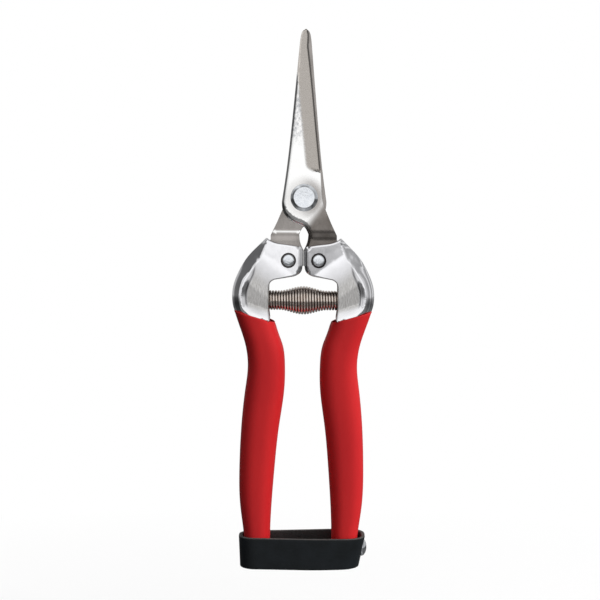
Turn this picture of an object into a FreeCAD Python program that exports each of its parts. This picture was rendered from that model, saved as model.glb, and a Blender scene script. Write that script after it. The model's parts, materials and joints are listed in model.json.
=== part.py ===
import FreeCAD, Part
import math
import os
from FreeCAD import Vector

# Floral snips, standing upright on the ends of their handles and on the strap round them.
# +Z runs up to the tips, X across the handles, Y along the pivot with the front at -Y.
# Lengths are in millimetres.  The two halves are the same pieces, turned half round about Z.

# Driving dimensions
overall_length = 190.0
pivot_z = 131.5
blade_thickness = 2.4
blade_gap = 0.1
edge_thickness = 0.3
pivot_shank_radius = 2.6
pivot_clearance = 0.05
pivot_head_radius = 4.8
pivot_head_height = 1.3
pivot_head_chamfer = 0.9
washer_thickness = 0.7
peened_head_radius = 3.7
peened_head_height = 1.1
peened_shoulder_radius = 2.7
peened_shoulder_height = 0.8
peened_crown_radius = 1.3

sheet = 1.45
ear_half_depth = blade_thickness / 2 + sheet
panel_half_depth = 5.2
rim_half_depth = 6.1
stop_gap = 0.7
tang_reach = 0.23

tang_rivet_x = 5.3
tang_rivet_z = 109.5
tang_rivet_radius = 2.05
tang_rivet_chamfer = 0.25
tang_rivet_recess = 0.05
tang_sink_radius = 2.65
tang_sink_depth = 0.45

vinyl = 1.3
grip_half_depth = panel_half_depth + vinyl
grip_round = 4.6
grip_round_limit = 0.4

spring_z = 95.3
spring_wire_radius = 0.42
spring_end_radius = 3.05
spring_mid_radius = 4.6
spring_half_length = 13.2
spring_bulge_half_length = 8.5
spring_turns = 27

strap_height = 11.5
strap_half_length = 22.0
strap_half_depth = 8.3
leather = 1.4
strap_end_round = 3.2
strap_rivet_z = 7.2
strap_rivet_head_radius = 3.2
strap_rivet_head_height = 1.5
strap_rivet_shoulder_radius = 2.6
strap_rivet_shoulder_height = 0.8
strap_rivet_crown_radius = 1.3
strap_rivet_crown_height = 1.35
strap_rivet_shank_radius = 1.4
strap_rivet_peen_radius = 1.9
strap_rivet_peen_height = 0.7
strap_rivet_seat = 16.7
strap_rivet_hole_run_on = 4.0
strap_washer_radius = 2.2
strap_washer_thickness = 0.7

stem_round = 3.4
stem_foot = 2.0
lip_inset = 3.0
lip_round = 0.3

# Half the depth that a cutting tool needs to go right through any piece
through = 12.0
# How close two lengths, or a direction and its axis, must be to count as the same
same_length = 0.01
same_direction = 0.9

# Right-hand side of the right handle, from the ear's peak down to the grip's top edge, (x, z)
shoulder = [(13.2, 117.2), (16.2, 114.2), (19.8, 110.3), (22.8, 105.2), (24.6, 100.5),
            (25.0, 96.0), (24.5, 91.8)]
# The grip's slanting top edge, from its outer end to its inner end, (x, z)
grip_top = [(24.5, 91.8), (10.6, 87.8)]
# Rows of the right grip: height, inner edge, outer edge
grip_rows = [
    (94.0, 12.6, 24.9),
    (87.0, 9.2, 23.3),
    (79.0, 6.9, 20.3),
    (72.0, 6.2, 19.3),
    (64.0, 6.3, 20.1),
    (51.0, 8.0, 21.4),
    (36.0, 9.5, 22.0),
    (22.0, 10.5, 21.6),
    (11.0, 10.9, 20.1),
    (0.4, 10.8, 19.4),
]


def point(x, z, y=0.0):
    return Vector(x, y, z)


def line(*points):
    ends = zip(points, points[1:])
    return [Part.makeLine(point(*a), point(*b)) for a, b in ends]


def curve(points):
    spline = Part.BSplineCurve()
    spline.interpolate([point(*p) for p in points])
    return [spline.toShape()]


def bend(start, middle, end):
    return [Part.Arc(point(*start), point(*middle), point(*end)).toShape()]


def plate(edges, low_y, high_y):
    """The outline in the XZ plane, thick from low_y to high_y."""
    face = Part.Face(Part.Wire(edges))
    face.translate(Vector(0, low_y, 0))
    return face.extrude(Vector(0, high_y - low_y, 0))


def rod(radius, low_y, high_y, x, z):
    return Part.makeCylinder(radius, high_y - low_y, Vector(x, low_y, z), Vector(0, 1, 0))


def turned(profile, x, z, axis, turn_about):
    """A closed profile turned about an axis through (x, 0, z)."""
    face = Part.Face(Part.makePolygon(profile + [profile[0]]))
    return face.revolve(Vector(x, 0, z), axis, turn_about)


def other_half(shape):
    """The same piece on the other half of the snips."""
    copy = shape.copy()
    copy.rotate(Vector(0, 0, 0), Vector(0, 0, 1), 180)
    return copy


def one_solid(shape):
    return shape.removeSplitter().Solids[0]


# Blades

def blade_outline():
    """The front blade, from its tip down to the tang and the leg inside the handle."""
    apex = (0.2, overall_length)
    spine = [apex, (-1.1, 189.2), (-1.7, 187.6), (-2.2, 183.5)]
    spine_foot = [(-2.2, 183.5), (-4.4, 158.8), (-6.7, 137.6), (-7.8, 130.0)]
    heel = [(-7.8, 130.0), (-7.4, 126.9), (-5.6, 124.3), (-2.4, 122.4), (0.2, 121.1), (1.6, 118.6)]
    tang_x = stop_gap / 2 - tang_reach
    window = [(1.6, 118.6), (1.3, 116.0), (tang_x, 113.0)]
    leg = [(tang_x, 113.0), (tang_x, 107.6), (3.4, 104.8), (11.0, 103.0), (13.4, 102.6), (13.4, 97.2)]
    leg_end = [(13.4, 97.2), (10.6, 96.9), (10.6, 93.7), (13.4, 93.4), (13.4, 90.5), (18.0, 90.5)]
    shoulder_line = [(18.0, 90.5), (18.0, 106.0), (11.6, 111.0), (11.6, 118.2), (9.4, 122.8), (7.9, 126.4)]
    ricasso = [(7.9, 126.4), (6.6, 130.0), (6.0, 135.0), (5.6, 142.2)]
    edge = [(5.6, 142.2), (3.8, 158.9), (2.7, 169.7), (1.0, 184.0)]
    edge_tip = [(1.0, 184.0), (0.9, 188.6), apex]
    outline = curve(spine) + curve(spine_foot) + curve(heel) + curve(window) + line(*leg)
    outline += line(*leg_end) + line(*shoulder_line) + curve(ricasso) + curve(edge)
    return outline + bend(*edge_tip)


def bent_strip():
    """The joggle: a flat blade plane, then a step back to the middle for the tang."""
    low, high = -blade_gap / 2 - blade_thickness, -blade_gap / 2
    step = blade_thickness / 2
    z_up, z_down, top, bottom, half = 119.8, 117.0, 200.0, 80.0, 30.0
    section = [(high, top), (high, z_up), (step, z_down), (step, bottom)]
    section += [(-step, bottom), (-step, z_down), (low, z_up), (low, top)]
    corners = [Vector(-half, y, z) for y, z in section]
    face = Part.Face(Part.makePolygon(corners + corners[:1]))
    return face.extrude(Vector(2 * half, 0, 0))


def bevel_cutter():
    """What grinding takes off the front of the blade, from a ridge down to the cutting edge."""
    edge_low, edge_high, ridge = (5.6, 142.0), (1.0, 184.0), (-0.9, 156.0)
    face_y = -blade_gap / 2 - blade_thickness
    edge_y = -blade_gap / 2 - edge_thickness
    a = point(*edge_low, edge_y)
    b = point(*edge_high, edge_y)
    c = point(*ridge, face_y)
    normal = (b - a).cross(c - a).normalize()
    if normal.y > 0:
        normal = normal * -1
    reach = 60.0
    removed = Part.makeCylinder(reach, reach, a, normal)
    plunge = [(-12.0, 143.4), (0.4, 143.4)]
    plunge_round = [(0.4, 143.4), (1.6, 141.7), (3.6, 141.0)]
    rest = [(3.6, 141.0), (12.0, 140.6), (12.0, 195.0), (-12.0, 195.0), (-12.0, 143.4)]
    region = plate(line(*plunge) + bend(*plunge_round) + line(*rest), -through, through)
    return removed.common(region)


def make_blade(hole_clearance):
    blade = plate(blade_outline(), -through, through).common(bent_strip())
    blade = blade.cut(bevel_cutter())
    blade = blade.cut(rod(pivot_shank_radius + hole_clearance, -through, through, 0, pivot_z))
    blade = blade.cut(rod(tang_rivet_radius, -through, through, tang_rivet_x, tang_rivet_z))
    return one_solid(blade)


# Pivot and tang fasteners

def make_pivot_rivet():
    """A flat chamfered head in front, a shank through both blades and a peened end behind."""
    front = -blade_gap / 2 - blade_thickness
    back = blade_gap / 2 + blade_thickness + pivot_clearance + washer_thickness
    head = front - pivot_head_height
    profile = [
        (0, head),
        (pivot_head_radius - pivot_head_chamfer, head),
        (pivot_head_radius, head + pivot_head_chamfer),
        (pivot_head_radius, front),
        (pivot_shank_radius, front),
        (pivot_shank_radius, back),
        (peened_head_radius, back),
        (peened_shoulder_radius, back + peened_shoulder_height),
        (peened_crown_radius, back + peened_head_height),
        (0, back + peened_head_height),
    ]
    corners = [Vector(r, y, pivot_z) for r, y in profile]
    return turned(corners, 0, pivot_z, Vector(0, 1, 0), 360)


def make_pivot_washer():
    low = blade_gap / 2 + blade_thickness + pivot_clearance
    disc = rod(pivot_head_radius, low, low + washer_thickness, 0, pivot_z)
    return disc.cut(rod(pivot_shank_radius, low - 1, low + washer_thickness + 1, 0, pivot_z))


def make_tang_rivet():
    """A straight rivet, almost flush with both faces of the ear."""
    end = ear_half_depth - tang_rivet_recess
    rivet = rod(tang_rivet_radius, -end, end, tang_rivet_x, tang_rivet_z)
    rims = [e for e in rivet.Edges if abs(abs(e.CenterOfMass.y) - end) < same_length]
    return rivet.makeChamfer(tang_rivet_chamfer, rims)


# Handle

def handle_outline():
    """The pressed part of the handle, from the ear down to the grip's top edge."""
    ear_x = stop_gap / 2
    waist = line(grip_top[1], (12.0, 91.6), (12.0, 99.8))
    waist += bend((12.0, 99.8), (11.6, 101.7), (10.2, 102.7))
    bottom = line((10.2, 102.7), (3.6, 103.8)) + bend((3.6, 103.8), (1.3, 104.9), (ear_x, 107.4))
    side = line((ear_x, 107.4), (ear_x, 112.8)) + bend((ear_x, 112.8), (0.8, 114.0), (2.0, 114.5))
    top = curve([(2.0, 114.5), (6.0, 115.1), (10.5, 115.9), (13.2, 117.2)])
    return curve(shoulder) + line(*grip_top) + waist + bottom + side + top


def body_region():
    """The thick body: everything outside a line from the ear's peak to its lower corner."""
    edge = [(13.2, 120.0), (12.6, 112.0), (13.6, 109.0), (8.0, 101.0), (0.0, 98.0)]
    return edge + [(0.0, 80.0), (40.0, 80.0), (40.0, 120.0), edge[0]]


def rim_region():
    """The raised rim along the outer edge, which turns in above the grip."""
    foot = [(13.2, 120.0), (12.8, 112.0), (16.4, 108.6), (18.6, 105.0), (19.6, 99.0), (19.2, 94.5)]
    turn = [(17.4, 91.6), (8.0, 89.0), (8.0, 80.0), (40.0, 80.0), (40.0, 120.0)]
    return foot + turn + foot[:1]


def inner_shoulder():
    """The shoulder one sheet thickness further in, run on a little past both of its ends."""
    moved = []
    for before, here, after in zip(shoulder[:1] + shoulder, shoulder, shoulder[1:] + shoulder[-1:]):
        along = Vector(after[0] - before[0], after[1] - before[1], 0).normalize()
        moved.append((here[0] + sheet * along.y, here[1] - sheet * along.x))
    run_on = 3.0
    first, last = moved[0], moved[-1]
    return [(first[0] - run_on, first[1] + run_on)] + moved + [(last[0] - 1.0, last[1] - 2 * run_on)]


def cavity(half_depth, corners):
    """Everything inside the inner shoulder, out to the given corners on its open side."""
    edge = inner_shoulder()
    return plate(curve(edge) + line(edge[-1], *corners, edge[0]), -half_depth, half_depth)


def pressed_envelope():
    """The pressed part of the handle as if it were filled solid."""
    ear = plate(handle_outline(), -ear_half_depth, ear_half_depth)
    body = plate(handle_outline(), -panel_half_depth, panel_half_depth)
    body = body.common(plate(line(*body_region()), -through, through))
    rim = plate(handle_outline(), -rim_half_depth, rim_half_depth)
    rim = rim.common(plate(line(*rim_region()), -through, through))
    return ear.fuse(body).fuse(rim).removeSplitter()


def rounded_section(low_x, high_x, half_y, low_round, high_round, z):
    """A closed outline at height z with one corner radius at each end of X."""
    corners = [
        (high_x - high_round, half_y - high_round, high_round),
        (low_x + low_round, half_y - low_round, low_round),
        (low_x + low_round, low_round - half_y, low_round),
        (high_x - high_round, high_round - half_y, high_round),
    ]
    turns = []
    for index, (x, y, radius) in enumerate(corners):
        start = index * math.pi / 2
        angles = (start, start + math.pi / 4, start + math.pi / 2)
        turns.append([Vector(x + radius * math.cos(a), y + radius * math.sin(a), z)
                      for a in angles])
    edges = []
    for turn, following in zip(turns, turns[1:] + turns[:1]):
        edges.append(Part.Arc(*turn).toShape())
        edges.append(Part.makeLine(turn[-1], following[0]))
    return Part.Wire(edges)


def stem_section(row, inset, lip):
    """Across the stem, as if filled: round towards the outside, nearly square at the lip."""
    height, inner, outer = row
    return rounded_section(inner + lip, outer - vinyl - inset, panel_half_depth - inset,
                           lip_round, stem_round - inset, max(height, stem_foot))


def stem(inset, lip):
    return Part.makeLoft([stem_section(row, inset, lip) for row in grip_rows], True)


def make_handle():
    """A sheet-steel channel, open towards the other handle, pinched flat at the ear."""
    open_side = [(-5.0, 84.0), (-5.0, 122.0), (8.0, 122.0)]
    slot = cavity(blade_thickness / 2, open_side)
    channel = cavity(panel_half_depth - sheet, open_side)
    below_ear = [(8.0, 101.0), (14.8, 107.0), (40.0, 107.0), (40.0, 80.0), (-6.0, 80.0)]
    below_ear += [(-6.0, 101.0), (8.0, 101.0)]
    channel = channel.common(plate(line(*below_ear), -through, through))
    pressed = pressed_envelope().cut(slot).cut(channel)
    open_lip = -5.0
    handle = pressed.fuse(stem(0, lip_inset).cut(stem(sheet, open_lip)))
    handle = handle.cut(rod(tang_rivet_radius, -through, through, tang_rivet_x, tang_rivet_z))
    for side in (-1, 1):
        outside = side * ear_half_depth
        inside = side * (ear_half_depth - tang_sink_depth)
        low, high = sorted((inside, outside))
        sink = rod(tang_sink_radius, low, high, tang_rivet_x, tang_rivet_z)
        handle = handle.cut(sink)
    return one_solid(handle)


# Grip, spring and strap

def grip_section(row):
    """Across the grip: its corners never take more than a set share of its width."""
    height, inner, outer = row
    corner = min(grip_round, grip_round_limit * (outer - inner))
    return rounded_section(inner, outer, grip_half_depth, corner, corner, height)


def make_grip():
    """A dipped vinyl sleeve over the stem, closed at its lower end."""
    sleeve = Part.makeLoft([grip_section(row) for row in grip_rows], True)
    (outer_x, outer_z), (inner_x, inner_z) = grip_top
    slope = (outer_z - inner_z) / (outer_x - inner_x)
    left, right = 0.0, 32.0
    above = [(left, inner_z + slope * (left - inner_x)), (right, outer_z + slope * (right - outer_x))]
    above += [(right, 110.0), (left, 110.0), above[0]]
    sleeve = sleeve.cut(plate(line(*above), -through, through))
    return sleeve.cut(stem(0, lip_inset))


def spring_radius(x):
    """Coil centre-line radius: a barrel swelling on the middle of a straight coil."""
    share = max(0.0, 1.0 - abs(x) / spring_bulge_half_length)
    swell = math.sin(share * math.pi / 2) ** 2
    return spring_end_radius + (spring_mid_radius - spring_end_radius) * swell


def make_spring():
    steps_per_turn = 12
    steps = spring_turns * steps_per_turn
    reach = spring_half_length - spring_wire_radius
    path = []
    for step in range(steps + 1):
        turn = 2 * math.pi * step / steps_per_turn
        x = -reach + 2 * reach * step / steps
        radius = spring_radius(x)
        path.append(Vector(x, radius * math.cos(turn), spring_z + radius * math.sin(turn)))
    helix = Part.BSplineCurve()
    helix.interpolate(path)
    start = helix.tangent(helix.FirstParameter)[0]
    section = Part.Wire(Part.Circle(path[0], start, spring_wire_radius).toShape())
    return Part.Wire(helix.toShape()).makePipeShell([section], True, True)


def rounded_block(half_x, half_y, height, radius):
    block = Part.makeBox(2 * half_x, 2 * half_y, height, Vector(-half_x, -half_y, 0))
    upright = [e for e in block.Edges if abs(e.tangentAt(e.FirstParameter).z) > same_direction]
    return block.makeFillet(radius, upright)


def make_strap():
    """A leather loop round both handle ends."""
    outer = rounded_block(strap_half_length, strap_half_depth, strap_height, strap_end_round)
    inner = rounded_block(strap_half_length - leather, strap_half_depth - leather,
                          strap_height, strap_end_round - leather)
    strap = outer.cut(inner)
    return strap.cut(strap_rivet_hole())


def strap_rivet_hole():
    """The hole through the leather, the grip and the outer wall of the right handle."""
    start = Vector(strap_rivet_seat - strap_rivet_hole_run_on, 0, strap_rivet_z)
    return Part.makeCylinder(strap_rivet_shank_radius, through, start, Vector(1, 0, 0))


def make_strap_rivet():
    """A domed head outside the leather, and a peened end on the washer inside the handle."""
    seat = strap_half_length
    shank = strap_rivet_shank_radius
    peen_seat = strap_rivet_seat - strap_washer_thickness
    peen_end = peen_seat - strap_rivet_peen_height
    head = [(seat, shank), (seat, strap_rivet_head_radius)]
    head += [(seat + strap_rivet_shoulder_height, strap_rivet_shoulder_radius)]
    head += [(seat + strap_rivet_crown_height, strap_rivet_crown_radius)]
    head += [(seat + strap_rivet_head_height, 0)]
    tail = [(peen_end, 0), (peen_end, shank), (peen_seat, strap_rivet_peen_radius), (peen_seat, shank)]
    corners = [Vector(x, 0, strap_rivet_z + up) for x, up in head + tail]
    return turned(corners, 0, strap_rivet_z, Vector(1, 0, 0), 360)


def make_strap_washer():
    start = Vector(strap_rivet_seat - strap_washer_thickness, 0, strap_rivet_z)
    disc = Part.makeCylinder(strap_washer_radius, strap_washer_thickness, start, Vector(1, 0, 0))
    return disc.cut(strap_rivet_hole())


def main():
    os.makedirs("parts", exist_ok=True)
    handle = make_handle()
    grip = make_grip()
    tang_rivet = make_tang_rivet()
    rivet_hole = strap_rivet_hole()
    pieces = {
        "front_blade": make_blade(0),
        "rear_blade": other_half(make_blade(pivot_clearance)),
        "pivot_rivet": make_pivot_rivet(),
        "pivot_washer": make_pivot_washer(),
        "right_tang_rivet": tang_rivet,
        "left_tang_rivet": other_half(tang_rivet),
        "right_handle": handle.cut(rivet_hole),
        "left_handle": other_half(handle),
        "right_grip": grip.cut(rivet_hole),
        "left_grip": other_half(grip),
        "spring": make_spring(),
        "strap": make_strap(),
        "strap_rivet": make_strap_rivet(),
        "strap_washer": make_strap_washer(),
    }
    for name, shape in pieces.items():
        box = shape.BoundBox
        print(f"{name:18s} {shape.ShapeType:9s} solids {len(shape.Solids)} valid {shape.isValid()}"
              f" volume {shape.Volume:9.1f}  X {box.XMin:7.2f} {box.XMax:7.2f}"
              f"  Y {box.YMin:6.2f} {box.YMax:6.2f}  Z {box.ZMin:7.2f} {box.ZMax:7.2f}")
        shape.exportStep(f"parts/{name}.step")


main()
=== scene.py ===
import json
import math

import bmesh
import bpy
import numpy as np
from mathutils import Matrix, Vector
from mathutils.geometry import delaunay_2d_cdt


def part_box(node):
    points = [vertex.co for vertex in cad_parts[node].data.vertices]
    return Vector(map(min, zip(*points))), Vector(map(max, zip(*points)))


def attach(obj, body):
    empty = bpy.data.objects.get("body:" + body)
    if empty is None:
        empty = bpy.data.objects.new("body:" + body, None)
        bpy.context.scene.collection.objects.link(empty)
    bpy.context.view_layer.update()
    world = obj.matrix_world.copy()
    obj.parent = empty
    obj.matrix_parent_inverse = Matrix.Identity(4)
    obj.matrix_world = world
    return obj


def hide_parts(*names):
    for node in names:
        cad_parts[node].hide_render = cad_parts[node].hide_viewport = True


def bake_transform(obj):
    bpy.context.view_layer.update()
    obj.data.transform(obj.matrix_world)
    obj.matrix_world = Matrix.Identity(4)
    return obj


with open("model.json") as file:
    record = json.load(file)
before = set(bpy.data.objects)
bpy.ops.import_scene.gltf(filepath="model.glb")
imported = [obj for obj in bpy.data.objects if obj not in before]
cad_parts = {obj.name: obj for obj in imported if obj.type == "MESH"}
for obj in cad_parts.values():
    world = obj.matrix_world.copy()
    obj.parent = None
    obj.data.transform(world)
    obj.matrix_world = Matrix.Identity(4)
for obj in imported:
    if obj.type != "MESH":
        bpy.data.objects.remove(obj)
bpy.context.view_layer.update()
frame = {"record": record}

# Sizes below are millimetres in the part's own frame, and become metres in new_object: +X is across the
# handles to the right, +Y from front to back, and +Z from the handle ends to the blade tips.
MM = 0.001
joints = {joint["name"]: joint for joint in frame["record"]["behaviour"]["joints"]}
PIVOT_Z = joints["blade_pivot"]["pos_m"][2] / MM


def cad_box(node_name):
    """The lowest and highest corner of a node, in millimetres."""
    low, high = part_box(node_name)
    return np.array(low) / MM, np.array(high) / MM


# ---------------------------------------------------------------- curves and distances

def spline(points, step=0.35):
    """Points about one step apart on the natural cubic curve through the given ones."""
    p = np.array(points, float)
    h = np.linalg.norm(np.diff(p, axis=0), axis=1)
    t = np.concatenate([[0], np.cumsum(h)])
    count = len(p)
    matrix = np.eye(count)
    right = np.zeros_like(p)
    for i in range(1, count - 1):
        matrix[i, i - 1:i + 2] = h[i - 1], 2 * (h[i - 1] + h[i]), h[i]
        right[i] = 6 * ((p[i + 1] - p[i]) / h[i] - (p[i] - p[i - 1]) / h[i - 1])
    bend = np.linalg.solve(matrix, right)
    s = np.linspace(0, t[-1], max(2, int(round(t[-1] / step)) + 1))
    k = np.clip(np.searchsorted(t, s, side="right") - 1, 0, count - 2)
    b = ((s - t[k]) / h[k])[:, None]
    a = 1 - b
    spread = h[k][:, None] ** 2 / 6
    return a * p[k] + b * p[k + 1] + ((a ** 3 - a) * bend[k] + (b ** 3 - b) * bend[k + 1]) * spread


def straight(points, step=0.35):
    """Points about one step apart on the straight lines between the given ones."""
    stretches = [spline(pair, step) for pair in zip(points, points[1:])]
    return joined(*stretches)


def joined(*stretches):
    """One run of points from several that meet end to end."""
    return np.vstack([stretches[0]] + [stretch[1:] for stretch in stretches[1:]])


def closed(loop):
    """The loop with its first point again at its end."""
    return np.vstack([loop, loop[:1]])


def circle(x, z, radius, count=48):
    a = np.arange(count) * 2 * math.pi / count
    return np.stack([x + radius * np.cos(a), z + radius * np.sin(a)], axis=1)


def rounded_rectangle(half_x, half_y, radius, per_corner, step):
    """Points round a rectangle with rounded corners, its sides cut to about the given step."""
    points = []
    for sign_x, sign_y, start in ((1, -1, -90), (1, 1, 0), (-1, 1, 90), (-1, -1, 180)):
        for k in range(per_corner):
            a = math.radians(start + 90 * k / (per_corner - 1))
            points.append((sign_x * (half_x - radius) + radius * math.cos(a),
                           sign_y * (half_y - radius) + radius * math.sin(a)))
    dense = []
    for (x0, y0), (x1, y1) in zip(points, points[1:] + points[:1]):
        pieces = max(1, int(math.dist((x0, y0), (x1, y1)) / step))
        dense += [(mix(x0, x1, i / pieces), mix(y0, y1, i / pieces)) for i in range(pieces)]
    return np.array(dense)


def nearest(points, path):
    """For each point, its distance to the path and how far along the path that is."""
    best = np.full(len(points), 1e9)
    along = np.zeros(len(points))
    done = 0.0
    for a, b in zip(path[:-1], path[1:]):
        ab = b - a
        length = np.linalg.norm(ab)
        if length < 1e-9:
            continue
        t = np.clip((points - a) @ ab / length ** 2, 0, 1)
        distance = np.linalg.norm(points - a - t[:, None] * ab, axis=1)
        closer = distance < best
        best[closer] = distance[closer]
        along[closer] = done + t[closer] * length
        done += length
    return best, along


def inside(points, outline):
    """Which points lie inside the closed outline."""
    result = np.zeros(len(points), bool)
    x, z = points[:, 0], points[:, 1]
    for (x0, z0), (x1, z1) in zip(outline, np.roll(outline, -1, axis=0)):
        if z0 != z1:
            crosses = (z0 > z) != (z1 > z)
            result ^= crosses & (x < (x1 - x0) * (z - z0) / (z1 - z0) + x0)
    return result


def smooth(value, low=0.0, high=1.0):
    """0 up to low, 1 from high on, and an S-shaped rise between them."""
    t = np.clip((value - low) / (high - low), 0, 1)
    return t * t * (3 - 2 * t)


def fade(value, low, high):
    """1 up to low, 0 from high on, and an S-shaped fall between them."""
    return 1 - smooth(value, low, high)


def mix(a, b, share):
    return a + (b - a) * share


def rounded(distance, radius):
    """How far an edge rounded to the radius has dropped at each distance in from it."""
    return radius - np.sqrt(radius ** 2 - np.clip(radius - distance, 0, radius) ** 2)


# ---------------------------------------------------------------- mesh builders

def new_object(name, vertices, faces):
    """An object from millimetre vertices, with its faces turned outwards."""
    mesh = bpy.data.meshes.new(name)
    mesh.from_pydata([tuple(v) for v in np.array(vertices) * MM], [], [tuple(map(int, f)) for f in faces])
    work = bmesh.new()
    work.from_mesh(mesh)
    bmesh.ops.remove_doubles(work, verts=work.verts, dist=1e-7)
    bmesh.ops.recalc_face_normals(work, faces=work.faces)
    work.to_mesh(mesh)
    work.free()
    obj = bpy.data.objects.new(name, mesh)
    bpy.context.scene.collection.objects.link(obj)
    return obj


def shade(obj, sharp_degrees):
    """Smooth shading, except across edges that bend by more than the angle."""
    obj.data.shade_smooth()
    obj.data.set_sharp_from_angle(angle=math.radians(sharp_degrees))
    return obj


def apply_modifiers(obj):
    graph = bpy.context.evaluated_depsgraph_get()
    mesh = bpy.data.meshes.new_from_object(obj.evaluated_get(graph))
    obj.modifiers.clear()
    obj.data = mesh
    return obj


def half_turn(obj, name):
    """A copy of the object for the other half of the tool, turned half round about Z."""
    copy = obj.copy()
    copy.data = obj.data.copy()
    copy.name = name
    copy.data.transform(Matrix.Rotation(math.pi, 4, "Z"))
    bpy.context.scene.collection.objects.link(copy)
    return copy


def inward(outline):
    """Unit normals that point into a closed outline."""
    along = np.roll(outline, -1, axis=0) - np.roll(outline, 1, axis=0)
    along /= np.linalg.norm(along, axis=1)[:, None]
    normals = np.stack([-along[:, 1], along[:, 0]], axis=1)
    trial = inside(outline + normals * 0.01, outline)
    return normals if trial.mean() > 0.5 else -normals


def filled(outline, rings, spacing, holes=()):
    """Triangles over a closed outline, with rings of points along its edge and its holes.

    Returns the points, the triangles and the closed loops of point indices round the edges."""
    loops = [outline, *holes]
    borders = [closed(loop) for loop in loops]

    def clearance(p):
        return np.min([nearest(p, border)[0] for border in borders], axis=0)

    def allowed(p):
        keep = inside(p, outline)
        for hole in holes:
            keep &= ~inside(p, hole)
        return keep

    points, loop_indices, edges = [], [], []
    first = 0
    for loop in loops:
        index = list(range(first, first + len(loop)))
        first += len(loop)
        points.append(loop)
        loop_indices.append(index)
        edges += list(zip(index, index[1:] + index[:1]))
    for ring in rings:
        for number, loop in enumerate(loops):
            normals = inward(loop) * (1 if number == 0 else -1)
            candidates = loop + normals * ring
            ok = allowed(candidates) & (clearance(candidates) > ring * 0.97)
            points.append(candidates[ok])
    low, high = outline.min(axis=0), outline.max(axis=0)
    lattice = []
    for number, z in enumerate(np.arange(low[1], high[1], spacing * math.sqrt(3) / 2)):
        xs = np.arange(low[0] + (number % 2) * spacing / 2, high[0], spacing)
        lattice.append(np.stack([xs, np.full(len(xs), z)], axis=1))
    lattice = np.vstack(lattice)
    ok = allowed(lattice) & (clearance(lattice) > rings[-1] + spacing * 0.45)
    points = np.vstack([*points, lattice[ok]])
    result = delaunay_2d_cdt([Vector(p) for p in points], edges, [], 1, 1e-6)
    out_points = np.array([tuple(v) for v in result[0]])
    triangles = np.array([tuple(f) for f in result[2]])
    source = {original: out for out, originals in enumerate(result[3]) for original in originals}
    triangles = triangles[allowed(out_points[triangles].mean(axis=1))]
    return out_points, triangles, [[source[i] for i in index] for index in loop_indices]


def two_faced(name, points, triangles, loops, front, back):
    """A plate with the given front and back height at every point, and walls round the loops."""
    count = len(points)
    vertices = np.zeros((2 * count, 3))
    vertices[:count] = np.stack([points[:, 0], front, points[:, 1]], axis=1)
    vertices[count:] = np.stack([points[:, 0], back, points[:, 1]], axis=1)
    faces = [tuple(t) for t in triangles] + [tuple(t[::-1] + count) for t in triangles]
    for loop in loops:
        for a, b in zip(loop, loop[1:] + loop[:1]):
            faces.append((a, b, b + count, a + count))
    return new_object(name, vertices, faces)


def lathe(name, profile, centre, axis, segments=64):
    """A form turned about an axis through the centre: profile is a list of (distance along, radius)."""
    axis = np.array(axis, float)
    side = np.array((1.0, 0, 0) if axis[2] else (0, 0, 1.0))
    other = np.cross(axis, side)
    vertices, faces, rings = [], [], []
    for along, radius in profile:
        if radius < 1e-6:
            rings.append([len(vertices)])
            vertices.append(centre + axis * along)
            continue
        first = len(vertices)
        for k in range(segments):
            a = 2 * math.pi * k / segments
            vertices.append(centre + axis * along + radius * (side * math.cos(a) + other * math.sin(a)))
        rings.append(list(range(first, first + segments)))
    for low, high in zip(rings, rings[1:]):
        for k in range(segments):
            n = (k + 1) % segments
            if len(low) == 1:
                faces.append((low[0], high[n], high[k]))
            elif len(high) == 1:
                faces.append((low[k], low[n], high[0]))
            else:
                faces.append((low[k], low[n], high[n], high[k]))
    return new_object(name, vertices, faces)


def skin(rings, closed_ends=True):
    """Faces over a list of equal rings, each a closed loop of vertex indices, and over the end rings."""
    faces = []
    for low, high in zip(rings, rings[1:]):
        for k in range(len(low)):
            n = (k + 1) % len(low)
            faces.append((low[k], low[n], high[n], high[k]))
    if closed_ends:
        faces.append(tuple(rings[0][::-1]))
        faces.append(tuple(rings[-1]))
    return faces


def set_attribute(obj, name, values):
    """A value for every vertex, which the object's material reads by name."""
    attribute = obj.data.attributes.new(name, "FLOAT", "POINT")
    attribute.data.foreach_set("value", np.asarray(values, np.float32))


def coordinates(obj):
    """The object's vertices in millimetres."""
    co = np.empty(len(obj.data.vertices) * 3)
    obj.data.vertices.foreach_get("co", co)
    return co.reshape(-1, 3) / MM


# ---------------------------------------------------------------- materials

def material(name):
    """A new material, its node tree and its shader."""
    mat = bpy.data.materials.new(name)
    mat.use_nodes = True
    tree = mat.node_tree
    return mat, tree, tree.nodes["Principled BSDF"]


def metal(name):
    mat, tree, shader = material(name)
    shader.inputs["Metallic"].default_value = 1.0
    return mat, tree, shader


def node(tree, kind, **values):
    """A node with its inputs set by name and its properties by prop_name."""
    made = tree.nodes.new(kind)
    for key, value in values.items():
        if key.startswith("prop_"):
            setattr(made, key[5:], value)
        else:
            made.inputs[key.replace("_", " ")].default_value = value
    return made


def object_place(tree):
    """Where a point is on its object, in metres."""
    return node(tree, "ShaderNodeTexCoord").outputs["Object"]


def noise(tree, scale, detail=4.0, roughness=0.55, stretch=(1, 1, 1)):
    """Noise on the object: scale is per metre, and a stretch below 1 draws it out along that axis."""
    mapping = node(tree, "ShaderNodeMapping", Scale=stretch)
    tree.links.new(object_place(tree), mapping.inputs["Vector"])
    made = node(tree, "ShaderNodeTexNoise", Scale=scale, Detail=detail, Roughness=roughness)
    tree.links.new(mapping.outputs["Vector"], made.inputs["Vector"])
    return made.outputs["Fac"]


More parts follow.
